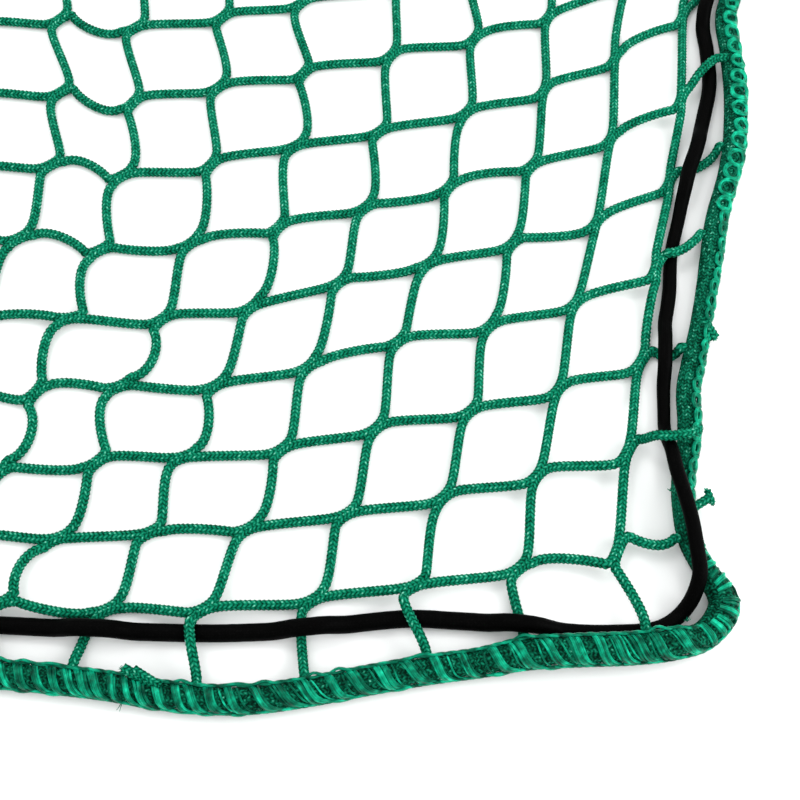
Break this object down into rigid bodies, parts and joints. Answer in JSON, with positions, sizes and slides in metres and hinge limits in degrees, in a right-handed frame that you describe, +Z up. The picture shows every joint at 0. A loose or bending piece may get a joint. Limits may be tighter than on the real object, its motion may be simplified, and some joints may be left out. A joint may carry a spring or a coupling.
{
  "type": "cover net",
  "caption": "Small cover net of green knotless twine with square meshes, a sewn border rope and a black elastic cord threaded round its edge, lying loose.",
  "frame": {"origin": "on the surface that the net lies on, under the middle of its bounding box", "axes": "+Z up off the surface, +X along the net's long side, +Y from the front edge to the back edge"},
  "size_m": [0.4006, 0.3631, 0.0135],
  "materials": {
    "twine": "knotless knitted polypropylene twine, slightly glossy",
    "border": "knitted polypropylene rope, wrapped with glossy flat threads",
    "elastic": "braided black cover over a rubber core, matt"
  },
  "bodies": {
    "root": {"net": "twine", "border_rope": "border", "elastic_cord": "elastic"}
  },
  "joints": []
}
